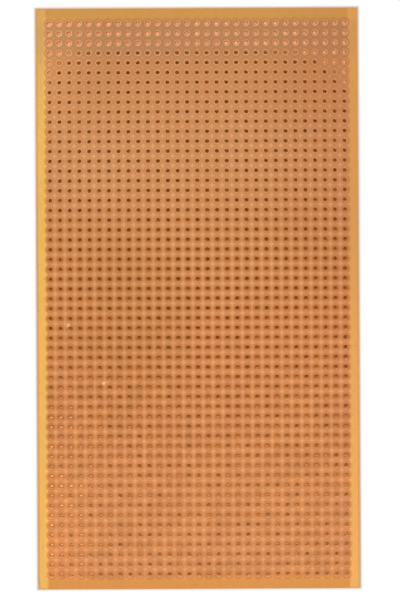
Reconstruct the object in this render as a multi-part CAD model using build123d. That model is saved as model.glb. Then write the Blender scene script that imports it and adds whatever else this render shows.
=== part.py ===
from build123d import *
import os

# A single-sided prototype circuit board, in millimetres. It lies flat on its bare side, with the copper side up.
# X runs across the board, Y along it and Z up. The origin is the middle of the underside.

# Hole grid
pitch = 2.54  # centre to centre of neighbouring holes both ways, a tenth of an inch as on component leads
columns = 31
rows = 57
hole_diameter = 1.0

# Laminate sheet, resin-bonded paper
laminate_thickness = 1.565
side_margin = 3.4  # outer column's hole centres to the long edge
end_margin = 3.88  # outer row's hole centres to the short edge

# Copper pads, bonded to the sheet
pad_diameter = 1.9
copper_thickness = 0.035  # one-ounce foil
pad_bands = 3  # nodes that share the rows of pads, from the front edge to the back edge

board_width = (columns - 1) * pitch + 2 * side_margin
board_length = (rows - 1) * pitch + 2 * end_margin


def laminate_sheet():
    """The sheet, pierced by the whole grid of round holes."""
    spots = GridLocations(pitch, pitch, columns, rows)
    holes = [Wire.make_circle(hole_diameter / 2, Plane(spot)) for spot in spots]
    pierced = Face(Rectangle(board_width, board_length).wire(), holes)
    return Solid.extrude(pierced, Vector(0, 0, laminate_thickness))


def copper_pads(first_row, past_row):
    """The separate ring pads of a band of rows, each seated on the sheet and pierced by its own hole."""
    rim = Wire.make_circle(pad_diameter / 2)
    bore = Wire.make_circle(hole_diameter / 2)
    pad = Solid.extrude(Face(rim, [bore]), Vector(0, 0, copper_thickness))
    band_middle = (first_row + past_row - rows) * pitch / 2
    seat = Pos(0, band_middle, laminate_thickness)
    spots = GridLocations(pitch, pitch, columns, past_row - first_row)
    return Compound([pad.moved(seat * spot) for spot in spots])


os.makedirs("parts", exist_ok=True)
export_step(laminate_sheet(), "parts/laminate.step")
for band in range(pad_bands):
    band_pads = copper_pads(rows * band // pad_bands, rows * (band + 1) // pad_bands)
    export_step(band_pads, f"parts/copper_pads_{band + 1}.step")
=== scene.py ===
"""A single-sided prototype circuit board, lying copper side up on a pale studio floor and seen from straight above.

The board is a sheet of amber resin-bonded paper, pierced by a full grid of round holes, with a separate ring of
lacquered copper foil bonded round each hole. Lengths are in metres and the origin is the middle of the underside.
X runs across the board, Y along it from the front edge to the back edge, and Z up.
"""

import logging
import math
from dataclasses import dataclass
from enum import Enum

import bpy
import numpy as np
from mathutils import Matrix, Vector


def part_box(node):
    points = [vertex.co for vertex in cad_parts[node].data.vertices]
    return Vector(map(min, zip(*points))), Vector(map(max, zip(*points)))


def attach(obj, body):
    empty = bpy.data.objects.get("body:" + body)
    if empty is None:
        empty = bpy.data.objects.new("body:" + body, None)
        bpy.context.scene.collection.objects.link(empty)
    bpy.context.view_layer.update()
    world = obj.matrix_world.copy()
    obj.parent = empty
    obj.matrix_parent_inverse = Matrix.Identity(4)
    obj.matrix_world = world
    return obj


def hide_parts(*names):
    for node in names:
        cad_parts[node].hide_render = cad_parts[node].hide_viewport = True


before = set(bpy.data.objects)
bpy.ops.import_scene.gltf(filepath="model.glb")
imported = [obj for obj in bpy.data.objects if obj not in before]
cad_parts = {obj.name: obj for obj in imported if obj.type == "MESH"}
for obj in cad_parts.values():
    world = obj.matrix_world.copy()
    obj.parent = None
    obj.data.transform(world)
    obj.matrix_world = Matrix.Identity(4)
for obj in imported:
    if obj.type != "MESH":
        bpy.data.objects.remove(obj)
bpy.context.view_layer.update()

log = logging.getLogger("prototype_board")

MM = 0.001
SIDES = 16  # flat sides that stand for each round hole and pad
PAD_NODES = 3  # nodes that share the rows of pads, from the front edge to the back edge
WHITE = (1.0, 1.0, 1.0, 1.0)
Colour = tuple[float, float, float, float]
Span = tuple[float, float]  # where a smooth step starts and where it ends, which may be the lower number
Grain = tuple[float, float]  # a noise texture's cells per metre and its octaves
Stretch = tuple[float, float, float]  # factors of x, y and z before a noise is read
Socket = bpy.types.NodeSocket


def srgb(red: int, green: int, blue: int) -> Colour:
    """Turn a display colour into the linear colour that a shader takes.

    Each channel over 0.04045 is ((c + 0.055) / 1.055) to the power 2.4, and a darker one is c / 12.92.

    Args:
        red: Red, 0 to 255.
        green: Green, 0 to 255.
        blue: Blue, 0 to 255.

    Returns:
        The linear red, green, blue and an alpha of one.
    """
    channels = np.array([red, green, blue]) / 255
    linear = np.where(channels <= 0.04045, channels / 12.92, ((channels + 0.055) / 1.055) ** 2.4)
    return (*(float(value) for value in linear), 1.0)


def past(edge: float, span: Span) -> Span:
    """Count a step's start and end outwards from an edge."""
    return edge + span[0], edge + span[1]


class Slot(Enum):
    """Names of the laminate's and the copper's material slots."""

    PAPER = "laminate"
    FOIL = "copper"


@dataclass(frozen=True)
class Grid:
    """The hole grid's sizes: the standard spacing of component leads both ways."""

    pitch: float = 2.54 * MM
    columns: int = 31
    rows: int = 57
    hole_radius: float = 0.5 * MM
    pad_radius: float = 0.95 * MM

    @property
    def last_column(self) -> float:
        """Give the x of the rightmost column's centres, half the gaps between columns times the pitch."""
        return (self.columns - 1) / 2 * self.pitch

    @property
    def last_row(self) -> float:
        """Give the y of the backmost row's centres, half the gaps between rows times the pitch."""
        return (self.rows - 1) / 2 * self.pitch

    def centres(self, first_row: int, past_row: int) -> np.ndarray:
        """Give the hole centres of a band of rows.

        A hole's place is its column and row number, each less the middle one, times the pitch.

        Args:
            first_row: Lowest row of the band, counted from the front edge.
            past_row: Row after the last one of the band.

        Returns:
            An array of x and y, one line for each hole, row by row.
        """
        across = (np.arange(self.columns) - (self.columns - 1) / 2) * self.pitch
        along = (np.arange(first_row, past_row) - (self.rows - 1) / 2) * self.pitch
        x, y = np.meshgrid(across, along)
        return np.column_stack([x.ravel(), y.ravel()])


@dataclass(frozen=True)
class Outline:
    """The board's outer size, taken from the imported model."""

    half_width: float
    half_length: float
    top: float


@dataclass(frozen=True)
class Patch:
    """Faces of one mesh that have the same number of corners and the same shading."""

    faces: np.ndarray
    smooth: bool


class NodeSketch:
    """A short way to lay out and join the nodes of one shader tree."""

    def __init__(self, tree: bpy.types.NodeTree) -> None:
        """Keep the tree that the nodes go into."""
        self.tree = tree

    def feed(self, node: bpy.types.Node, inputs: dict) -> None:
        """Set or link a node's inputs.

        Args:
            node: The node.
            inputs: Socket names or numbers, each with a value or an output socket to link from.
        """
        for name, value in inputs.items():
            if isinstance(value, Socket):
                self.tree.links.new(value, node.inputs[name])
            else:
                node.inputs[name].default_value = value

    def add(self, kind: str, settings: dict | None = None, inputs: dict | None = None) -> bpy.types.Node:
        """Add a node, set its properties, and set or link its inputs.

        Args:
            kind: Blender's name for the node's type.
            settings: Property names and values.
            inputs: Socket names or numbers, each with a value or an output socket to link from.

        Returns:
            The new node.
        """
        node = self.tree.nodes.new(kind)
        for name, value in (settings or {}).items():
            setattr(node, name, value)
        self.feed(node, inputs or {})
        return node

    def math(self, operation: str, *values: object, clamp: bool = False) -> Socket:
        """Add a Math node over up to three values or sockets and return its output."""
        node = self.add("ShaderNodeMath", {"operation": operation, "use_clamp": clamp}, dict(enumerate(values)))
        return node.outputs[0]

    def scaled(self, value: object, factor: object, base: object, clamp: bool = False) -> Socket:
        """Give a value times a factor, plus a base, held between nought and one where clamp says so."""
        return self.math("MULTIPLY_ADD", value, factor, base, clamp=clamp)

    def product(self, first: object, *others: object) -> Socket:
        """Multiply values or sockets together.

        Args:
            first: Value or socket.
            others: More of them.

        Returns:
            The product's output socket.
        """
        result = first
        for other in others:
            result = self.math("MULTIPLY", result, other)
        return result

    def rest(self, share: Socket) -> Socket:
        """Give what a share leaves of one."""
        return self.math("SUBTRACT", 1.0, share)

    def absolute(self, value: Socket) -> Socket:
        """Give a value without its sign."""
        return self.math("ABSOLUTE", value)

    def vector(self, operation: str, *values: object) -> bpy.types.Node:
        """Add a Vector Math node over up to three values or sockets and return the node."""
        return self.add("ShaderNodeVectorMath", {"operation": operation}, dict(enumerate(values)))

    def parts(self, vector: Socket) -> tuple[Socket, ...]:
        """Split a vector into its x, y and z sockets."""
        return tuple(self.add("ShaderNodeSeparateXYZ", inputs={"Vector": vector}).outputs)

    def noise(self, vector: Socket, grain: Grain, stretch: Stretch | None = None) -> Socket:
        """Add a noise texture and return its value.

        Args:
            vector: Position that the noise is read at.
            grain: Its cells per metre and its octaves.
            stretch: Factors of the position's x, y and z, where they aren't all one.

        Returns:
            The noise's output, nought to one.
        """
        if stretch is not None:
            vector = self.vector("MULTIPLY", vector, stretch).outputs[0]
        scale, detail = grain
        inputs = {"Vector": vector, "Scale": scale, "Detail": detail}
        return self.add("ShaderNodeTexNoise", inputs=inputs).outputs["Fac"]

    def ramp(self, value: Socket, span: Span) -> Socket:
        """Give a smooth step of a value from nought at the span's start to one at its end.

        Args:
            value: The socket that is stepped.
            span: Where the step starts and ends.

        Returns:
            The step's output socket.
        """
        settings = {"interpolation_type": "SMOOTHSTEP", "clamp": True}
        inputs = {"Value": value, "From Min": span[0], "From Max": span[1]}
        return self.add("ShaderNodeMapRange", settings, inputs).outputs["Result"]

    def mix(self, factor: object, first: object, second: object) -> Socket:
        """Blend two colours.

        Args:
            factor: Share of the second colour.
            first: Colour or socket.
            second: Colour or socket.

        Returns:
            The blended colour's output socket.
        """
        node = self.add("ShaderNodeMix", {"data_type": "RGBA", "clamp_factor": True})
        numbers = {socket.identifier: number for number, socket in enumerate(node.inputs)}
        self.feed(node, {numbers["Factor_Float"]: factor, numbers["A_Color"]: first, numbers["B_Color"]: second})
        return next(socket for socket in node.outputs if socket.identifier == "Result_Color")

    def tint(self, factor: object, first: object, filter_colour: object) -> Socket:
        """Multiply a colour by a filter's colour.

        Args:
            factor: How much of the filter is laid on.
            first: Colour or socket.
            filter_colour: The filter's colour, or a socket that gives it.

        Returns:
            The tinted colour's output socket.
        """
        tinted = self.mix(factor, first, filter_colour)
        tinted.node.blend_type = "MULTIPLY"
        return tinted

    def relief(self, height: Socket, distance: float) -> Socket:
        """Add a Bump node of full strength and return its normal.

        Args:
            height: The height.
            distance: Metres for each unit of the height.

        Returns:
            The normal's output socket.
        """
        bump = self.add("ShaderNodeBump", inputs={"Strength": 1.0, "Distance": distance, "Height": height})
        return bump.outputs["Normal"]


class Finish:
    """A new material with its shader, its node sketch and the object position that its patterns read."""

    def __init__(self, name: str) -> None:
        """Make the material and keep what its nodes start from.

        Args:
            name: The material's name.
        """
        self.material = bpy.data.materials.new(name)
        self.material.use_nodes = True
        nodes = self.material.node_tree.nodes
        self.sketch = NodeSketch(self.material.node_tree)
        self.shader = nodes["Principled BSDF"]
        self.output = nodes["Material Output"]
        self.position = self.sketch.add("ShaderNodeTexCoord").outputs["Object"]


class PatternGroup:
    """A shader node group with named outputs over a position, built once and placed in several materials."""

    name = "pattern"
    outputs: tuple[str, ...] = ()

    def __init__(self) -> None:
        """Build the group's tree with its sockets."""
        self.tree = bpy.data.node_groups.new(self.name, "ShaderNodeTree")
        self.tree.interface.new_socket("Position", in_out="INPUT", socket_type="NodeSocketVector")
        for output in self.outputs:
            self.tree.interface.new_socket(output, in_out="OUTPUT", socket_type="NodeSocketFloat")
        sketch = NodeSketch(self.tree)
        position = sketch.add("NodeGroupInput").outputs["Position"]
        sketch.add("NodeGroupOutput", inputs=self.draw(sketch, position))

    def draw(self, sketch: NodeSketch, position: Socket) -> dict[str, Socket]:
        """Lay out the pattern's nodes.

        Args:
            sketch: The group's tree.
            position: Object position, in metres.

        Returns:
            Each output's name and the socket that feeds it.
        """
        raise NotImplementedError

    def place(self, sketch: NodeSketch, position: Socket) -> bpy.types.bpy_prop_collection:
        """Put the group into a material and feed it a position.

        Args:
            sketch: The material's tree.
            position: Object position, in metres.

        Returns:
            The group node's outputs, which have the names of the pattern's outputs.
        """
        return sketch.add("ShaderNodeGroup", {"node_tree": self.tree}, {"Position": position}).outputs


class HoleLattice(PatternGroup):
    """Distance to the nearest hole's centre, its shares across and along, and a number of its own for each hole."""

    name = "hole lattice"
    outputs = ("Radius", "Side", "Lean", "Chance")

    def __init__(self, grid: Grid) -> None:
        """Keep the spacing and build the group."""
        self.grid = grid
        super().__init__()

    def draw(self, sketch: NodeSketch, position: Socket) -> dict[str, Socket]:
        """Divide the position by the pitch, round it to the nearest hole of the grid, and measure what is left.

        Args:
            sketch: The group's tree.
            position: Object position, in metres.

        Returns:
            Each output's name and the socket that feeds it.
        """
        pitch = self.grid.pitch
        last = ((self.grid.columns - 1) / 2, (self.grid.rows - 1) / 2, 0)
        first = tuple(-step for step in last)
        half = (0.5, 0.5, 0)
        flat = sketch.vector("MULTIPLY", position, (1 / pitch, 1 / pitch, 0)).outputs[0]
        hole = sketch.vector("FLOOR", sketch.vector("ADD", flat, half).outputs[0]).outputs[0]
        hole = sketch.vector("MINIMUM", sketch.vector("MAXIMUM", hole, first).outputs[0], last).outputs[0]
        offset = sketch.vector("SUBTRACT", flat, hole).outputs[0]
        radius = sketch.product(sketch.vector("LENGTH", offset).outputs["Value"], pitch)
        chance = sketch.add("ShaderNodeTexWhiteNoise", {"noise_dimensions": "3D"}, {"Vector": hole})
        side, lean, _ = (sketch.product(part, pitch) for part in sketch.parts(offset))
        return {"Radius": radius, "Side": side, "Lean": lean, "Chance": chance.outputs["Value"]}


@dataclass(frozen=True)
class Spot:
    """An oval area of the board: its middle and its half-axes."""

    x: float
    y: float
    reach_x: float
    reach_y: float


@dataclass(frozen=True)
class Area:
    """An uneven area: its place, the filter that it lays over the colours, and whether it reaches the margins."""

    spot: Spot
    filter_colour: Colour
    on_margins: bool = True


class BlemishesAndShade(PatternGroup):
    """Uneven areas, two of them painted shade, and patches of painted sheen on the lacquer, that run over the paper and
    the foil alike, and a few pale specks of flux.
    """

    name = "blemishes_and_shade"
    areas = {
        # The olive and ruddy areas are painted shade; the pale and golden ones are lighter areas of the field.
        "OliveShade": Area(Spot(-19 * MM, -8 * MM, 22 * MM, 32 * MM), (0.92, 0.93, 0.84, 1.0)),
        "RuddyShade": Area(Spot(42 * MM, 40 * MM, 30 * MM, 56 * MM), (0.92, 0.84, 0.8, 1.0)),
        "Pale": Area(Spot(-42 * MM, 70 * MM, 18 * MM, 36 * MM), (1.13, 1.17, 1.16, 1.0), False),
        "Golden": Area(Spot(-42 * MM, -66 * MM, 16 * MM, 30 * MM), (1.12, 1.06, 0.98, 1.0), False),
    }
    outputs = (*areas, "Field", "PaintedSheen", "Speck")
    area_fade: Span = (1.1, 0.25)  # half-axes from its middle at which an area has gone, and is full
    field_fade: Span = (1 * MM, 0.0)  # past the outermost pads' rims
    sheen_grain: Grain = (340.0, 2.0)
    sheen_span: Span = (0.36, 0.64)
    sheen_reach: Span = (24 * MM, -36 * MM)  # y over which the painted sheen grows, towards the front
    # dim and bright: the darker and lighter patches of the lacquer's painted sheen
    dim = (0.96, 0.94, 0.91, 1.0)
    bright = (1.1, 1.08, 1.05, 1.0)
    specks = (
        Spot(-24.4 * MM, -21.8 * MM, 0.46 * MM, 0.46 * MM),
        Spot(-23.5 * MM, -21.5 * MM, 0.8 * MM, 0.2 * MM),
        Spot(-33.4 * MM, -6.9 * MM, 0.5 * MM, 0.66 * MM),
    )
    speck_fade: Span = (1.4, 0.2)
    speck_colour = (0.98, 0.56, 0.27, 1.0)
    speck_strength = 0.8
    smear_strength = 0.45

    def __init__(self, grid: Grid) -> None:
        """Keep the grid's sizes and build the group."""
        self.grid = grid
        super().__init__()

    def draw(self, sketch: NodeSketch, position: Socket) -> dict[str, Socket]:
        """Fade each area out with the distance from its middle, counted in half-axes, and the field at the margins.

        Args:
            sketch: The group's tree.
            position: Object position, in metres.

        Returns:
            Each output's name and the socket that feeds it.
        """
        marks = {name: self.oval(sketch, position, area.spot, self.area_fade) for name, area in self.areas.items()}
        x, y, _ = sketch.parts(position)
        side = past(self.grid.last_column + self.grid.pad_radius, self.field_fade)
        end = past(self.grid.last_row + self.grid.pad_radius, self.field_fade)
        marks["Field"] = sketch.product(sketch.ramp(sketch.absolute(x), side), sketch.ramp(sketch.absolute(y), end))
        speck, smear, dot = (self.oval(sketch, position, spot, self.speck_fade) for spot in self.specks)
        smear = sketch.product(smear, self.smear_strength)
        marks["Speck"] = sketch.math("MAXIMUM", sketch.math("MAXIMUM", speck, smear), dot)
        marks["PaintedSheen"] = sketch.ramp(sketch.noise(position, self.sheen_grain), self.sheen_span)
        return marks

    def oval(self, sketch: NodeSketch, position: Socket, spot: Spot, fade: Span) -> Socket:
        """Draw one oval area.

        Args:
            sketch: The group's tree.
            position: Object position, in metres.
            spot: The area.
            fade: Distances in half-axes at which it has faded out, and up to which it is full.

        Returns:
            The socket with the area's strength.
        """
        middle = sketch.vector("SUBTRACT", position, (spot.x, spot.y, 0)).outputs[0]
        scaled = sketch.vector("MULTIPLY", middle, (1 / spot.reach_x, 1 / spot.reach_y, 0)).outputs[0]
        return sketch.ramp(sketch.vector("LENGTH", scaled).outputs["Value"], fade)

    def lay_on(self, sketch: NodeSketch, position: Socket, colour: Socket) -> Socket:
        """Lay the areas, two of them painted shade, the lacquer's painted sheen and the specks over a colour.

        Args:
            sketch: The material's tree.
            position: Object position, in metres.
            colour: The clean colour.

        Returns:
            The output socket of the colour with the areas, the painted sheen and the specks laid on.
        """
        marks = self.place(sketch, position)
        for name, area in self.areas.items():
            strength = marks[name] if area.on_margins else sketch.product(marks[name], marks["Field"])
            colour = sketch.tint(strength, colour, area.filter_colour)
        # Painted sheen of the lacquer, in patches that grow towards the front.
        uneven = sketch.product(sketch.ramp(sketch.parts(position)[1], self.sheen_reach), marks["Field"])
        colour = sketch.tint(uneven, colour, sketch.mix(marks["PaintedSheen"], self.dim, self.bright))
        return sketch.mix(sketch.product(marks["Speck"], self.speck_strength), colour, self.speck_colour)


class PaperGrain(PatternGroup):
    """Fibres of the pressed paper, the slow cloudiness of the resin between them, and dark flecks."""

    name = "paper grain"
    outputs = ("Fibre", "Mottle", "Cloud", "Fleck")
    fibre_stretch: Stretch = (1.0, 0.35, 1.0)
    fibre_grain: Grain = (5200.0, 3.0)
    mottle_grain: Grain = (1100.0, 3.0)
    cloud_grain: Grain = (42.0, 3.0)
    fleck_grain: Grain = (1400.0, 2.0)
    fleck_span: Span = (0.6, 0.76)

    def draw(self, sketch: NodeSketch, position: Socket) -> dict[str, Socket]:
        """Stretch fine noise along the board for fibres, and use coarse noise for clouds and flecks.

        Args:
            sketch: The group's tree.
            position: Object position, in metres.

        Returns:
            Each output's name and the socket that feeds it.
        """
        return {
            "Fibre": sketch.noise(position, self.fibre_grain, self.fibre_stretch),
            "Mottle": sketch.noise(position, self.mottle_grain, self.fibre_stretch),
            "Cloud": sketch.noise(position, self.cloud_grain),
            "Fleck": sketch.ramp(sketch.noise(position, self.fleck_grain), self.fleck_span),
        }


@dataclass(frozen=True)
class PhenolicPaper:
    """Amber resin-bonded paper: brown where lacquer covers the pads' field, bright along the long edges, dry if cut."""

    field: Colour = srgb(225, 158, 98)
    cloudy: Colour = srgb(217, 150, 90)
    # The left strip is lighter than the right one as painted light from the left.
    left_strip: Colour = srgb(237, 179, 76)
    right_strip: Colour = srgb(222, 157, 72)
    right_front: Colour = srgb(238, 169, 78)
    left_back: Colour = srgb(218, 161, 80)
    bare: Colour = srgb(214, 147, 82)
    # The back end is darker than the front end as painted shade towards the back.
    front_end: Colour = srgb(218, 141, 52)
    back_end: Colour = srgb(202, 143, 56)
    back_rows_shade: Colour = srgb(190, 125, 70)
    front_rows_light: Colour = srgb(223, 151, 94)
    # rim is painted shade along the board's outline.
    rim: Colour = srgb(196, 136, 74)
    fleck: Colour = srgb(184, 118, 60)
    cut: Colour = srgb(246, 184, 104)
    fringe: Colour = srgb(190, 115, 56)
    front_fringe: Colour = srgb(192, 104, 34)
    backmost_shade_filter: Colour = (0.88, 0.93, 1.0, 1.0)

    cloud_span: Span = (0.3, 0.72)
    back_rows_start: float = 34 * MM  # y from which painted shade darkens them, up to the last row
    back_rows_share: float = 0.9
    forward_span: Span = (16 * MM, -12 * MM)  # y over which the back half turns into the front half
    end_fade: Span = (-0.6 * MM, 1.6 * MM)  # past the last row's centres
    strip_fade: Span = (0.5 * MM, 1.2 * MM)  # past the last column's centres
    across_span: Span = (-20 * MM, 20 * MM)  # x over which the left strip's colour turns into the right one's
    right_span: Span = (30 * MM, -70 * MM)  # y over which painted light brightens the right strip towards the front
    left_span: Span = (36 * MM, 76 * MM)  # y over which painted shade dims the left strip towards the back
    backmost_span: Span = (60 * MM, 65 * MM)  # y over which the last rows take a cooler painted shade
    fringe_fade: Span = (0.62 * MM, 0.22 * MM)  # past a pad's rim, where the darker fringe has faded out and where it is full
    fringe_share: float = 0.6
    fringe_front_loss: float = 0.08
    bare_span: Span = (0.3, 0.6)  # shares of the thickness between the bare side and the lacquered one
    mottle_span: Span = (0.35, 0.8)
    mottle_share: float = 0.16
    fleck_share: float = 0.3

    bore_skin: float = 0.004 * MM  # how far round a bore its cut wall's look goes
    edge_shade_span: Span = (-0.55 * MM, -0.3 * MM)  # past the outline
    edge_shade_share: float = 0.6
    shear_span: Span = (-0.16 * MM, -0.1 * MM)  # past the outline
    roughness: float = 0.42
    roughness_spread: float = 0.16
    cut_roughness: float = 0.35  # added on cut faces
    lacquer: float = 0.2
    lacquer_roughness: float = 0.22
    relief: float = 0.004 * MM
    torn_relief: float = 0.03 * MM
    torn_stretch: Stretch = (0.4, 0.4, 3.0)  # the layers of paper lie flat
    torn_grain: Grain = (2600.0, 3.0)

    def ground(self, sketch: NodeSketch, position: Socket, grid: Grid, cloud: Socket) -> Socket:
        """Colour the sheet without its fringes: the clouded field, painted shade on the back rows and painted light on
        the front half, then the ends and long edges.

        Args:
            sketch: The material's tree.
            position: Object position, in metres.
            grid: The hole grid's sizes.
            cloud: The grain's slow cloudiness.

        Returns:
            The colour's output socket.
        """
        x, y, _ = sketch.parts(position)
        colour = sketch.mix(sketch.ramp(cloud, self.cloud_span), self.field, self.cloudy)
        # Painted shade over the back rows and painted light over the front half, as if lit more towards the front.
        shaded = sketch.product(sketch.ramp(y, (self.back_rows_start, grid.last_row)), self.back_rows_share)
        colour = sketch.mix(shaded, colour, self.back_rows_shade)
        colour = sketch.mix(sketch.ramp(y, self.forward_span), colour, self.front_rows_light)
        start, end = past(grid.last_row, self.end_fade)
        colour = sketch.mix(sketch.ramp(y, (-start, -end)), colour, self.front_end)
        colour = sketch.mix(sketch.ramp(y, (start, end)), colour, self.back_end)
        # The long strips, with painted light towards the front and the left and painted shade towards the back.
        right = sketch.mix(sketch.ramp(y, self.right_span), self.right_strip, self.right_front)
        left = sketch.mix(sketch.ramp(y, self.left_span), self.left_strip, self.left_back)
        strip = sketch.mix(sketch.ramp(x, self.across_span), left, right)
        return sketch.mix(sketch.ramp(sketch.absolute(x), past(grid.last_column, self.strip_fade)), colour, strip)

    def lacquered(self, sketch: NodeSketch, position: Socket, grid: Grid, radius: Socket, colour: Socket,
                  blemishes_and_shade: BlemishesAndShade) -> Socket:
        """Lay the darker fringes round the pads, the uneven areas, the painted sheen, the specks and the cooler painted
        shade of the backmost rows over the ground colour.

        Args:
            sketch: The material's tree.
            position: Object position, in metres.
            grid: The hole grid's sizes.
            radius: Distance to the nearest hole's centre.
            colour: The ground colour.
            blemishes_and_shade: The group that draws the uneven areas.

        Returns:
            The colour's output socket.
        """
        y = sketch.parts(position)[1]
        forward = sketch.ramp(y, self.forward_span)
        strength = sketch.scaled(forward, -self.fringe_front_loss, self.fringe_share)
        fringed = sketch.product(sketch.ramp(radius, past(grid.pad_radius, self.fringe_fade)), strength)
        colour = sketch.mix(fringed, colour, sketch.mix(forward, self.fringe, self.front_fringe))
        colour = blemishes_and_shade.lay_on(sketch, position, colour)
        # Cooler painted shade over the backmost rows, short of the end strip.
        margin = sketch.ramp(y, past(grid.last_row, self.end_fade))
        backmost = sketch.product(sketch.ramp(y, self.backmost_span), sketch.rest(margin))
        return sketch.tint(backmost, colour, self.backmost_shade_filter)

    def material(self, grid: Grid, outline: Outline, lattice: HoleLattice, grain: PaperGrain,
                 blemishes_and_shade: BlemishesAndShade) -> bpy.types.Material:
        """Make the sheet's material.

        The distance past the outline is the larger of the distances past its sides and past its ends, below nought
        inside it. It marks the painted shade along the rim and the sheared edges.

        Args:
            grid: The hole grid's sizes.
            outline: The board's outer size.
            lattice: The group that measures the distance to a hole.
            grain: The group that draws fibres and clouds.
            blemishes_and_shade: The group that draws the uneven areas.

        Returns:
            The material.
        """
        finish = Finish("phenolic_paper")
        sketch, position = finish.sketch, finish.position
        radius = lattice.place(sketch, position)["Radius"]
        paper = grain.place(sketch, position)
        x, y, z = sketch.parts(position)
        colour = self.ground(sketch, position, grid, paper["Cloud"])
        colour = self.lacquered(sketch, position, grid, radius, colour, blemishes_and_shade)
        low, high = (share * outline.top for share in self.bare_span)
        colour = sketch.mix(sketch.ramp(z, (low, high)), self.bare, colour)
        mottle = sketch.product(sketch.ramp(paper["Mottle"], self.mottle_span), self.mottle_share)
        colour = sketch.mix(mottle, colour, self.fleck)
        colour = sketch.mix(sketch.product(paper["Fleck"], self.fleck_share), colour, self.fleck)
        past_side = sketch.math("SUBTRACT", sketch.absolute(x), outline.half_width)
        past_end = sketch.math("SUBTRACT", sketch.absolute(y), outline.half_length)
        beyond = sketch.math("MAXIMUM", past_side, past_end)
        # Painted shade in a band just inside the outline.
        edge_shaded = sketch.product(sketch.ramp(beyond, self.edge_shade_span), self.edge_shade_share)
        colour = sketch.mix(edge_shaded, colour, self.rim)
        bored = sketch.ramp(radius, (grid.hole_radius + self.bore_skin, grid.hole_radius))
        cut = sketch.math("MAXIMUM", bored, sketch.ramp(beyond, self.shear_span))
        rough = sketch.scaled(paper["Fibre"], self.roughness_spread, self.roughness - self.roughness_spread / 2)
        torn = sketch.product(sketch.noise(position, self.torn_grain, self.torn_stretch), cut, self.torn_relief)
        sketch.feed(finish.shader, {
            "Base Color": sketch.mix(cut, colour, self.cut),
            "Roughness": sketch.scaled(cut, self.cut_roughness, rough, clamp=True),
            "Normal": sketch.relief(sketch.scaled(paper["Fibre"], self.relief, torn), 1.0),
            "Coat Weight": sketch.scaled(cut, -self.lacquer, self.lacquer),
            "Coat Roughness": self.lacquer_roughness,
        })
        return finish.material


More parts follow.
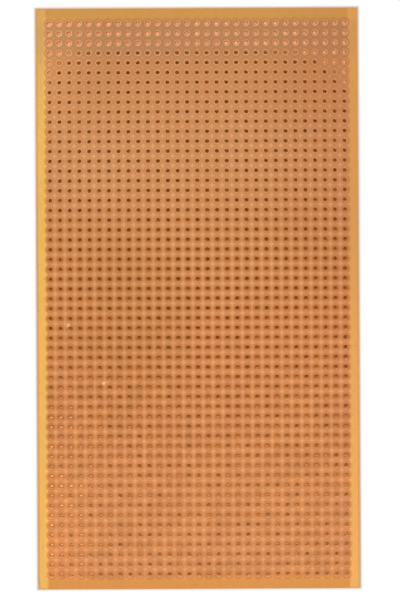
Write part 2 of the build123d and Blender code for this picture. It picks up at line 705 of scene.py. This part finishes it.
@dataclass(frozen=True)
class LacqueredCopper:
    """Copper foil under a thin amber flux lacquer: rosy under painted light, browner under painted shade, standing for
    brighter and dimmer reflections.

    A span in millimetres runs along the board, in y, or is counted from the hole's centre: to the right where it is
    named a side, towards the back edge where it is named a lean, and any way where it is named a radius.
    """

    # Lit and shaded copies of the copper: painted light and painted shade.
    lit_copper: Colour = (0.72, 0.36, 0.15, 1.0)
    shaded_copper: Colour = (0.66, 0.24, 0.054, 1.0)
    stain: Colour = (0.5, 0.19, 0.07, 1.0)
    # Painted shade on the rings' rims and on the unlit side of the backmost rings.
    pad_shade: Colour = (0.3, 0.1, 0.025, 1.0)
    # peach is painted light on the lit side of the backmost rings.
    peach: Colour = (0.9, 0.54, 0.31, 1.0)

    shade_span: Span = (38 * MM, 6 * MM)
    shade_share: float = 0.8
    front_span: Span = (-34 * MM, -62 * MM)
    front_loss: float = 0.2  # of the painted shade, as painted light on the front rows
    cloud_share: float = 0.2
    chance_share: float = 0.15
    # Painted light on the front half of each ring, towards the front.
    pale_span: Span = (20 * MM, -14 * MM)
    pale_lean: Span = (-0.1 * MM, -0.75 * MM)
    pale_share: float = 0.55

    pad_shade_span: Span = (32 * MM, -4 * MM)
    pad_shade_side: Span = (0.15 * MM, 0.6 * MM)
    pad_shade_share: float = 0.2
    lip_radius: Span = (0.72 * MM, 0.56 * MM)
    lip_lean: Span = (-0.05 * MM, 0.35 * MM)
    lip_share: float = 0.25
    sparse_span: Span = (-34 * MM, -52 * MM)
    sparse_loss: float = 0.14  # of the painted shade

    backmost_span: Span = (61 * MM, 66 * MM)
    lit_side: Span = (-0.5 * MM, 0.9 * MM)  # side less lean
    lit_share: float = 0.4
    unlit_share: float = 0.16

    smear_grain: Grain = (900.0, 3.0)
    smear_span: Span = (0.55, 0.75)
    stain_share: float = 0.35
    metal: float = 0.7
    roughness: float = 0.46
    roughness_spread: float = 0.2
    lacquer: float = 0.2
    lacquer_roughness: float = 0.22
    scratch: float = 0.002 * MM
    scratch_stretch: Stretch = (1.0, 0.04, 1.0)
    scratch_grain: Grain = (30000.0, 2.0)

    def tone(self, sketch: NodeSketch, y: Socket, lean: Socket, chance: Socket, cloud: Socket) -> Socket:
        """Work out the copper's painted shade: more towards the front, and less on the front half of each ring there,
        where painted light stands for a brighter reflection.

        Args:
            sketch: The material's tree.
            y: Distance along the board.
            lean: Distance from the hole's centre towards the back edge.
            chance: The hole's own number.
            cloud: The grain's slow cloudiness.

        Returns:
            The socket with the painted shade, nought to one.
        """
        most = sketch.scaled(sketch.ramp(y, self.front_span), -self.front_loss, self.shade_share)
        along = sketch.scaled(sketch.ramp(y, self.shade_span), most, sketch.product(cloud, self.cloud_share))
        tone = sketch.scaled(chance, self.chance_share, along, clamp=True)
        paled = sketch.product(sketch.ramp(lean, self.pale_lean), sketch.ramp(y, self.pale_span))
        return sketch.scaled(paled, -self.pale_share, tone, clamp=True)

    def painted_rim_shade(self, sketch: NodeSketch, y: Socket, holes: bpy.types.bpy_prop_collection) -> Socket:
        """Work out the painted shade on each ring: at its two sides and on its lip towards the back edge.

        Args:
            sketch: The material's tree.
            y: Distance along the board.
            holes: The hole lattice's outputs.

        Returns:
            The socket with the painted shade's strength.
        """
        lip = sketch.product(sketch.ramp(holes["Radius"], self.lip_radius), sketch.ramp(holes["Lean"], self.lip_lean))
        beside = sketch.ramp(sketch.absolute(holes["Side"]), self.pad_shade_side)
        around = sketch.scaled(lip, self.lip_share, beside)
        most = sketch.scaled(sketch.ramp(y, self.sparse_span), -self.sparse_loss, self.pad_shade_share)
        return sketch.product(around, sketch.ramp(y, self.pad_shade_span), most)

    def material(self, lattice: HoleLattice, grain: PaperGrain, blemishes_and_shade: BlemishesAndShade) -> bpy.types.Material:
        """Make the pads' material.

        Args:
            lattice: The group that measures a ring's parts and gives each hole its number.
            grain: The group that draws clouds.
            blemishes_and_shade: The group that draws the uneven areas.

        Returns:
            The material.
        """
        finish = Finish("lacquered_copper")
        sketch, position = finish.sketch, finish.position
        holes = lattice.place(sketch, position)
        cloud = grain.place(sketch, position)["Cloud"]
        y = sketch.parts(position)[1]
        tone = self.tone(sketch, y, holes["Lean"], holes["Chance"], cloud)
        colour = sketch.mix(tone, self.lit_copper, self.shaded_copper)
        # Painted shade at each ring's sides and on its lip towards the back edge.
        colour = sketch.mix(self.painted_rim_shade(sketch, y, holes), colour, self.pad_shade)
        # In the backmost rows, painted light on each ring's lit side and painted shade on its other side.
        backmost = sketch.ramp(y, self.backmost_span)
        lit = sketch.ramp(sketch.math("SUBTRACT", holes["Side"], holes["Lean"]), self.lit_side)
        colour = sketch.mix(sketch.product(backmost, lit, self.lit_share), colour, self.peach)
        colour = sketch.mix(sketch.product(backmost, sketch.rest(lit), self.unlit_share), colour, self.pad_shade)
        smear = sketch.noise(position, self.smear_grain)
        colour = sketch.mix(sketch.product(sketch.ramp(smear, self.smear_span), self.stain_share), colour, self.stain)
        lines = sketch.noise(position, self.scratch_grain, self.scratch_stretch)
        sketch.feed(finish.shader, {
            "Base Color": blemishes_and_shade.lay_on(sketch, position, colour),
            "Roughness": sketch.scaled(smear, self.roughness_spread, self.roughness - self.roughness_spread / 2),
            "Normal": sketch.relief(lines, self.scratch),
            "Metallic": self.metal,
            "Coat Weight": self.lacquer,
            "Coat Roughness": self.lacquer_roughness,
        })
        return finish.material


def mesh_piece(name: str, points: np.ndarray, patches: list[Patch], material: bpy.types.Material) -> bpy.types.Object:
    """Make an object at the origin from arrays of points and faces.

    Args:
        name: The piece's name.
        points: One line of x, y and z for each point.
        patches: Groups of faces, each a line of point numbers, anticlockwise seen from outside.
        material: The piece's finish.

    Returns:
        The object, linked into the scene.
    """
    corners = np.concatenate([np.full(len(patch.faces), patch.faces.shape[1]) for patch in patches])
    starts = np.concatenate([[0], np.cumsum(corners)[:-1]])
    loops = np.concatenate([patch.faces.ravel() for patch in patches])
    smooth = np.concatenate([np.full(len(patch.faces), patch.smooth) for patch in patches])
    mesh = bpy.data.meshes.new(name)
    mesh.vertices.add(len(points))
    mesh.vertices.foreach_set("co", points.astype(np.float32).ravel())
    mesh.loops.add(len(loops))
    mesh.loops.foreach_set("vertex_index", loops.astype(np.int32))
    mesh.polygons.add(len(corners))
    mesh.polygons.foreach_set("loop_start", starts.astype(np.int32))
    mesh.polygons.foreach_set("use_smooth", smooth)
    mesh.update(calc_edges=True)
    mesh.validate()
    mesh.materials.append(material)
    piece = bpy.data.objects.new(name, mesh)
    bpy.context.scene.collection.objects.link(piece)
    return piece


def turn_round(steps: int) -> np.ndarray:
    """Give the cosine and sine of evenly spaced angles of a whole turn, one line for each step."""
    angles = np.arange(steps) * 2 * np.pi / steps
    return np.column_stack([np.cos(angles), np.sin(angles)])


def band_faces(upper: np.ndarray, lower: np.ndarray) -> np.ndarray:
    """Join two closed rows of point numbers with four-sided faces.

    A face takes two neighbours of the upper row and the two under them. With rows that run anticlockwise seen from
    above, it looks inwards, to the middle of the ring.

    Args:
        upper: Rings of point numbers, the last axis running round each ring.
        lower: The rings under them, with the same shape.

    Returns:
        One line of four point numbers for each face.
    """
    beside_upper = np.roll(upper, -1, axis=-1)
    beside_lower = np.roll(lower, -1, axis=-1)
    return np.stack([upper, beside_upper, beside_lower, lower], axis=-1).reshape(-1, 4)


@dataclass
class LaminateSheet:
    """The pierced sheet: flat faces, punched holes that flare on the bare side, and sheared, slightly rough edges."""

    grid: Grid
    outline: Outline
    flare_run: float = 0.07 * MM
    flare_depth: float = 0.11 * MM
    edge_bevel: float = 0.09 * MM
    edge_waver: float = 0.05 * MM
    edge_levels: tuple[float, float] = (0.62, 0.3)  # shares of the thickness at which the edge wavers too
    edge_steps: int = 4  # to each cell beside the edge
    seed: int = 7

    def corner_numbers(self) -> np.ndarray:
        """Number the corners of the square cells round the holes, row by row."""
        return np.arange((self.grid.rows + 1) * (self.grid.columns + 1)).reshape(self.grid.rows + 1, -1)

    def corner_points(self, height: float) -> np.ndarray:
        """Give the cells' corners at a height.

        A corner lies half a pitch beyond its hole, so there is one more of them than of holes each way.

        Args:
            height: Their z.

        Returns:
            One line of x, y and z for each corner, row by row.
        """
        across = (np.arange(self.grid.columns + 1) - self.grid.columns / 2) * self.grid.pitch
        along = (np.arange(self.grid.rows + 1) - self.grid.rows / 2) * self.grid.pitch
        x, y = np.meshgrid(across, along)
        return np.column_stack([x.ravel(), y.ravel(), np.full(x.size, height)])

    def hole_points(self, radius: float, height: float) -> np.ndarray:
        """Give a ring of points round every hole: its centre plus the radius times the cosine and sine.

        Args:
            radius: The rings' radius.
            height: Their z.

        Returns:
            One line of x, y and z for each point, hole by hole.
        """
        flat = self.grid.centres(0, self.grid.rows)[:, None] + radius * turn_round(SIDES)[None]
        return np.column_stack([flat.reshape(-1, 2), np.full(flat.shape[0] * SIDES, height)])

    def border_loop(self) -> np.ndarray:
        """Give the numbers of the outermost cell corners, anticlockwise from the front left."""
        corners = self.corner_numbers()
        return np.concatenate([corners[0, :-1], corners[:-1, -1], corners[-1, :0:-1], corners[:0:-1, 0]])

    def outline_points(self, inset: np.ndarray, height: float) -> np.ndarray:
        """Give the points of the board's outline, in step with the border loop.

        Each side is cut into the same number of steps for each cell beside it, and every point is drawn towards the
        middle of the board by its inset, squared off at the corners.

        Args:
            inset: How far each point lies inside the outline.
            height: Their z.

        Returns:
            One line of x, y and z for each point, anticlockwise from the front left.
        """
        wide, long = self.outline.half_width, self.outline.half_length
        across = np.linspace(-wide, wide, self.grid.columns * self.edge_steps + 1)
        along = np.linspace(-long, long, self.grid.rows * self.edge_steps + 1)
        still_x, still_y = np.full(len(along) - 1, wide), np.full(len(across) - 1, long)
        x = np.concatenate([across[:-1], still_x, across[:0:-1], -still_x])
        y = np.concatenate([-still_y, along[:-1], still_y, along[:0:-1]])
        x = np.clip(x, -wide + inset, wide - inset)
        y = np.clip(y, -long + inset, long - inset)
        return np.column_stack([x, y, np.full(x.size, height)])

    def edge_profile(self) -> list[tuple[float, float]]:
        """Give the sheared edge's section, from the copper side's face to the bare side's.

        Returns:
            Pairs of inset and height.
        """
        top, bevel = self.outline.top, self.edge_bevel
        upper, lower = (share * top for share in self.edge_levels)
        return [(bevel, top), (0.0, top - bevel), (0.0, upper), (0.0, lower), (0.0, bevel), (bevel, 0.0)]

    def cell_faces(self, corners: np.ndarray, rings: np.ndarray) -> np.ndarray:
        """Fill the square cells round the holes, four faces to a cell.

        A face takes the two corners on one side of the cell, and then the five ring points that face that side.

        Args:
            corners: Point numbers of the cell corners, by row and column.
            rings: Point numbers of the hole rings, one line for each hole.

        Returns:
            One line of seven point numbers for each face, anticlockwise seen from above.
        """
        front_left, front_right = corners[:-1, :-1].ravel(), corners[:-1, 1:].ravel()
        back_left, back_right = corners[1:, :-1].ravel(), corners[1:, 1:].ravel()
        ends = [(front_right, back_right), (back_right, back_left), (back_left, front_left), (front_left, front_right)]
        eighth = SIDES // 8
        sides = []
        for quarter, (start, end) in enumerate(ends):
            nearest = (quarter * SIDES // 4 + np.arange(eighth, -eighth - 1, -1)) % SIDES
            sides.append(np.column_stack([start, end, rings[:, nearest]]))
        return np.concatenate(sides)

    def border_faces(self, inner: np.ndarray, outer: np.ndarray) -> np.ndarray:
        """Fill the strip between the outermost cells and the outline, one face to a cell.

        Args:
            inner: Point numbers of the border loop.
            outer: Point numbers of the outline.

        Returns:
            One line of point numbers for each face, anticlockwise seen from above.
        """
        spread = np.arange(len(inner))[:, None] * self.edge_steps + np.arange(self.edge_steps + 1)
        return np.column_stack([outer[spread % len(outer)], np.roll(inner, -1), inner])

    def build(self, material: bpy.types.Material) -> bpy.types.Object:
        """Make the whole sheet as one closed piece in place of its plain node.

        Args:
            material: The sheet's finish.

        Returns:
            The piece.
        """
        grid, top = self.grid, self.outline.top
        bore = grid.hole_radius
        rng = np.random.default_rng(self.seed)
        blocks = [self.corner_points(top), self.corner_points(0.0), self.hole_points(bore, top),
                  self.hole_points(bore, self.flare_depth), self.hole_points(bore + self.flare_run, 0.0)]
        edge_points = 2 * (grid.columns + grid.rows) * self.edge_steps
        for inset, height in self.edge_profile():
            waver = self.edge_waver * rng.random(edge_points)
            blocks.append(self.outline_points(inset + waver, height))
        starts = np.concatenate([[0], np.cumsum([len(block) for block in blocks])])
        high, low, *others = (np.arange(first, end) for first, end in zip(starts[:-1], starts[1:]))
        mouth, throat, flare = (block.reshape(-1, SIDES) for block in others[:3])
        edges = others[3:]
        cells = self.corner_numbers().shape
        border = self.border_loop()
        patches = [
            Patch(self.cell_faces(high.reshape(cells), mouth), False),
            Patch(self.cell_faces(low.reshape(cells), flare)[:, ::-1], False),
            Patch(self.border_faces(high[border], edges[0]), False),
            Patch(self.border_faces(low[border], edges[-1])[:, ::-1], False),
            Patch(band_faces(mouth, throat), True),
            Patch(band_faces(throat, flare), True),
        ]
        patches += [Patch(band_faces(upper, lower)[:, ::-1], True) for upper, lower in zip(edges[:-1], edges[1:])]
        piece = mesh_piece("laminate_sheet", np.concatenate(blocks), patches, material)
        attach(piece, "root")
        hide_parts("laminate")
        return piece


@dataclass
class CopperPads:
    """The ring pads of one band of rows: separate etched rings of foil, each seated on the sheet."""

    grid: Grid
    node: str
    first_row: int
    past_row: int
    seat: float
    top: float
    etch_run: float = 0.035 * MM
    punch_run: float = 0.19 * MM

    def profile(self) -> list[tuple[float, float]]:
        """Give the ring's section, from its outer foot over the top to its inner foot.

        The etched outer wall leans in by etch_run, and the punch has drawn the hole's rim down over punch_run.

        Returns:
            Pairs of radius and height.
        """
        outer, inner = self.grid.pad_radius, self.grid.hole_radius
        return [(outer, self.seat), (outer - self.etch_run, self.top), (inner + self.punch_run, self.top),
                (inner, self.seat)]

    def build(self, material: bpy.types.Material) -> bpy.types.Object:
        """Make the band's rings as one piece.

        A point is the hole's centre plus the section's radius times the cosine and sine of its angle, at the
        section's height. Neighbouring corners of the section are joined round the ring.

        Args:
            material: The pads' finish.

        Returns:
            The piece.
        """
        section = np.array(self.profile())
        centres = self.grid.centres(self.first_row, self.past_row)
        points = np.zeros((len(centres), len(section), SIDES, 3))
        points[..., :2] = centres[:, None, None] + section[None, :, None, :1] * turn_round(SIDES)[None, None]
        points[..., 2] = section[None, :, 1:]
        numbers = np.arange(points[..., 0].size).reshape(points.shape[:-1])
        foot, shoulder, lip, root = (numbers[:, level] for level in range(len(section)))
        patches = [
            Patch(band_faces(shoulder, foot)[:, ::-1], True),
            Patch(band_faces(shoulder, lip), False),
            Patch(band_faces(lip, root), True),
            Patch(band_faces(root, foot), False),
        ]
        piece = mesh_piece(f"{self.node}_rings", points.reshape(-1, 3), patches, material)
        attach(piece, "root")
        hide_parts(self.node)
        return piece


@dataclass(frozen=True)
class FloorFinish:
    """A matt floor: white to the camera away from the board, and dim beneath it, with the light the holes show.

    Light creeps in under the back edge, further along the sides. Under the front half the floor glows faintly amber,
    more along the left edge, by a different amount for each hole and more towards the hole's front.
    """

    pale: Colour = (0.9, 0.9, 0.9, 1.0)
    shaded: Colour = (0.45, 0.24, 0.08, 1.0)
    roughness: float = 0.9
    amber: Colour = (0.95, 0.34, 0.05, 1.0)
    front_amber: Colour = (0.95, 0.45, 0.17, 1.0)
    left_amber: Colour = (0.95, 0.55, 0.23, 1.0)
    creeping: Colour = (1.0, 0.58, 0.31, 1.0)

    cover_span: Span = (-1.2 * MM, 0.0)  # inside the outline, where the board's shade starts
    under_span: Span = (0.0, 0.2 * MM)  # inside the outline, where only the light beneath counts
    creep_reach: float = 10.5 * MM  # how far light creeps in from the back edge, away from the sides
    right_reach: float = 16 * MM  # how much further it creeps at the right edge itself
    left_reach: float = 26 * MM
    right_fade: float = 6 * MM  # distance from that edge over which the gain falls by the factor e
    left_fade: float = 2.9 * MM
    leftward_span: Span = (20 * MM, -20 * MM)  # x over which the right side's values turn into the left side's
    creep_span: Span = (1.5 * MM, -1.5 * MM)  # past the reach
    creep_least: float = 0.46
    creep_spread: float = 0.24

    lower_span: Span = (2 * MM, -54 * MM)  # y over which the glow grows towards the front
    lowest_span: Span = (-48 * MM, -60 * MM)  # y over which a little of it goes again
    left_width: float = 22 * MM  # of the brighter strip along the left edge
    glow: float = 0.17
    lower_glow: float = 0.14
    lowest_loss: float = 0.04
    left_glow: float = 0.28
    chance_least: float = 0.55
    chance_spread: float = 0.9
    near_lean: Span = (0.05 * MM, -0.4 * MM)  # from a hole's middle to its front
    far_share: float = 0.42
    near_share: float = 1.1

    def creep(self, sketch: NodeSketch, x: Socket, y: Socket, from_side: Socket, outline: Outline) -> Socket:
        """Draw the light under the back edge.

        Its reach is a plain length, plus one that falls exponentially with the distance from the nearest side.

        Args:
            sketch: The material's tree.
            x: Distance across the board from its middle.
            y: Distance along the board from its middle.
            from_side: Distance in from the nearest long edge.
            outline: The board's outer size.

        Returns:
            The socket with the light's strength.
        """
        leftward = sketch.ramp(x, self.leftward_span)
        fade = sketch.scaled(leftward, self.left_fade - self.right_fade, self.right_fade)
        gain = sketch.scaled(leftward, self.left_reach - self.right_reach, self.right_reach)
        fall = sketch.math("EXPONENT", sketch.math("DIVIDE", sketch.product(from_side, -1.0), fade))
        reach = sketch.scaled(fall, gain, self.creep_reach)
        from_back = sketch.math("SUBTRACT", outline.half_length, y)
        return sketch.ramp(sketch.math("SUBTRACT", from_back, reach), self.creep_span)

    def warmth(self, sketch: NodeSketch, lower: Socket, left: Socket, y: Socket,
               holes: bpy.types.bpy_prop_collection) -> Socket:
        """Work out the faint glow: its level along the board, times the hole's share, times the share of the hole.

        Args:
            sketch: The material's tree.
            lower: How far towards the front edge a point lies.
            left: How far towards the front half's left edge it lies.
            y: Distance along the board from its middle.
            holes: The hole lattice's outputs.

        Returns:
            The socket with the glow's strength.
        """
        level = sketch.scaled(lower, self.lower_glow, self.glow)
        level = sketch.scaled(sketch.ramp(y, self.lowest_span), -self.lowest_loss, level)
        level = sketch.scaled(left, self.left_glow, level)
        chance = sketch.scaled(holes["Chance"], self.chance_spread, self.chance_least)
        near = sketch.scaled(sketch.ramp(holes["Lean"], self.near_lean), self.near_share, self.far_share)
        return sketch.product(level, chance, near)

    def material(self, outline: Outline, lattice: HoleLattice) -> bpy.types.Material:
        """Make the floor's material.

        Args:
            outline: The board's outer size.
            lattice: The group that gives each hole its number.

        Returns:
            The material.
        """
        finish = Finish("studio_floor")
        sketch = finish.sketch
        x, y, _ = sketch.parts(finish.position)
        holes = lattice.place(sketch, finish.position)
        from_side = sketch.math("SUBTRACT", outline.half_width, sketch.absolute(x))
        from_end = sketch.math("SUBTRACT", outline.half_length, sketch.absolute(y))
        inside = sketch.math("MINIMUM", from_side, from_end)
        covered = sketch.ramp(inside, self.cover_span)
        creep = self.creep(sketch, x, y, from_side, outline)
        lower = sketch.ramp(y, self.lower_span)
        left = sketch.product(sketch.ramp(x, past(-outline.half_width, (self.left_width, 0.0))), lower)
        bounced = sketch.product(creep, sketch.scaled(holes["Chance"], self.creep_spread, self.creep_least))
        leak = sketch.math("MAXIMUM", bounced, self.warmth(sketch, lower, left, y, holes))
        amber = sketch.mix(left, sketch.mix(lower, self.amber, self.front_amber), self.left_amber)
        warm = sketch.mix(creep, amber, self.creeping)
        shade = sketch.mix(covered, self.pale, self.shaded)
        sketch.feed(finish.shader, {"Base Color": shade, "Roughness": self.roughness})
        matt = finish.shader.outputs[0]
        glow = sketch.add("ShaderNodeEmission", inputs={"Color": warm, "Strength": leak}).outputs[0]
        white = sketch.add("ShaderNodeEmission", inputs={"Color": WHITE, "Strength": 1.0}).outputs[0]
        beneath = sketch.add("ShaderNodeAddShader", inputs={0: matt, 1: glow}).outputs[0]
        rays = sketch.add("ShaderNodeLightPath").outputs
        seen = sketch.math("MAXIMUM", rays["Is Camera Ray"], rays["Is Glossy Ray"])
        seen = sketch.math("MAXIMUM", seen, rays["Is Transmission Ray"])
        away = sketch.product(sketch.rest(covered), seen)
        around = sketch.add("ShaderNodeMixShader", inputs={0: away, 1: matt, 2: white}).outputs[0]
        under = sketch.ramp(inside, self.under_span)
        surface = sketch.add("ShaderNodeMixShader", inputs={0: under, 1: around, 2: beneath}).outputs[0]
        sketch.feed(finish.output, {"Surface": surface})
        return finish.material


@dataclass(frozen=True)
class SoftDome:
    """A soft white dome of light: white to the camera, and graded for what it lights.

    It is dimmer overhead and to the sides than towards the front and the back, so that the flat pads under the camera
    mirror less light than the rows at both ends and the drawn-down rims. Heights and distances along the board are
    parts of the direction's length.
    """

    overhead_span: Span = (0.72, 0.93)  # height
    upper_span: Span = (0.03, 0.4)  # distance along the board
    upper_least: float = 0.54
    upper_spread: float = 0.25
    around_span: Span = (0.15, 0.75)  # distance along the board
    around_least: float = 0.87
    around_spread: float = 0.87
    horizon_span: Span = (0.15, 0.55)  # height
    horizon_least: float = 0.45
    horizon_spread: float = 0.55

    def build(self) -> bpy.types.World:
        """Make the world and hang it round the scene.

        Returns:
            The world.
        """
        world = bpy.data.worlds.new("studio_air")
        world.use_nodes = True
        sketch = NodeSketch(world.node_tree)
        _, y, z = sketch.parts(sketch.add("ShaderNodeTexCoord").outputs["Generated"])
        along = sketch.absolute(y)
        upper = sketch.scaled(sketch.ramp(along, self.upper_span), self.upper_spread, self.upper_least)
        around = sketch.scaled(sketch.ramp(along, self.around_span), self.around_spread, self.around_least)
        low = sketch.scaled(sketch.ramp(z, self.horizon_span), self.horizon_spread, self.horizon_least)
        around = sketch.product(around, low)
        overhead = sketch.ramp(z, self.overhead_span)
        dome = sketch.scaled(overhead, sketch.math("SUBTRACT", upper, around), around)
        seen = sketch.add("ShaderNodeLightPath").outputs["Is Camera Ray"]
        strength = sketch.math("MAXIMUM", dome, seen)
        sketch.feed(world.node_tree.nodes["Background"], {"Color": WHITE, "Strength": strength})
        bpy.context.scene.world = world
        return world


@dataclass
class Studio:
    """The pale floor, the soft dome of light and the camera."""

    outline: Outline
    floor_reach: float = 3.0
    pixels_per_metre: float = 3875.0  # at the height of the board's top
    picture_height: int = 600
    camera_height: float = 0.25
    nadir: tuple[float, float] = (0.0006, 0.012)  # the point straight under the lens
    view_centre: tuple[float, float] = (0.0006, -0.0004)  # the point in the middle of the picture
    roll: float = math.radians(-0.28)
    sensor: float = 36.0  # millimetres, like the lens
    clip_start: float = 0.01

    def add_camera(self) -> bpy.types.Object:
        """Hang the camera straight over the board and shift its lens until the whole board is framed.

        The lens is the sensor's height times the distance to the board's top, over the height of the view.

        Returns:
            The camera.
        """
        view_height = self.picture_height / self.pixels_per_metre
        data = bpy.data.cameras.new("overhead_camera")
        data.sensor_fit = "VERTICAL"
        data.sensor_height = self.sensor
        data.lens = self.sensor * (self.camera_height - self.outline.top) / view_height
        data.shift_x = (self.view_centre[0] - self.nadir[0]) / view_height
        data.shift_y = (self.view_centre[1] - self.nadir[1]) / view_height
        data.clip_start = self.clip_start
        camera = bpy.data.objects.new("overhead_camera", data)
        camera.location = (*self.nadir, self.camera_height)
        camera.rotation_euler = (0.0, 0.0, self.roll)
        bpy.context.scene.collection.objects.link(camera)
        bpy.context.scene.camera = camera
        return camera

    def add_floor(self, finish: bpy.types.Material) -> bpy.types.Object:
        """Lay a wide flat floor under the board.

        Args:
            finish: The floor's material.

        Returns:
            The floor.
        """
        reach = self.floor_reach
        corners = np.array([[-reach, -reach, 0], [reach, -reach, 0], [reach, reach, 0], [-reach, reach, 0]])
        floor = mesh_piece("studio_floor", corners, [Patch(np.array([[0, 1, 2, 3]]), False)], finish)
        return floor

    def build(self, lattice: HoleLattice) -> None:
        """Set up the floor, the lit dome and the camera.

        Args:
            lattice: The group that gives each hole its number.
        """
        bpy.context.scene.view_settings.view_transform = "Standard"
        self.add_floor(FloorFinish().material(self.outline, lattice))
        SoftDome().build()
        self.add_camera()
        log.info("studio: floor, soft dome and an overhead camera")


def main() -> None:
    """Build the board's pieces and the studio, and report each one."""
    logging.basicConfig(level=logging.INFO, format="%(name)s: %(message)s")
    grid = Grid()
    low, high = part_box("laminate")
    outline = Outline((high.x - low.x) / 2, (high.y - low.y) / 2, high.z)
    lattice = HoleLattice(grid)
    grain = PaperGrain()
    blemishes_and_shade = BlemishesAndShade(grid)
    paper = PhenolicPaper().material(grid, outline, lattice, grain, blemishes_and_shade)
    sheet = LaminateSheet(grid, outline).build(paper)
    log.info("%s: %d faces", sheet.name, len(sheet.data.polygons))
    copper = LacqueredCopper().material(lattice, grain, blemishes_and_shade)
    for band in range(PAD_NODES):
        node = f"copper_pads_{band + 1}"
        first_row, past_row = (grid.rows * edge // PAD_NODES for edge in (band, band + 1))
        seat, top = (corner.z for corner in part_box(node))
        pads = CopperPads(grid, node, first_row, past_row, seat, top).build(copper)
        log.info("%s: %d faces", pads.name, len(pads.data.polygons))
    Studio(outline).build(lattice)


if __name__ == "__main__":
    main()
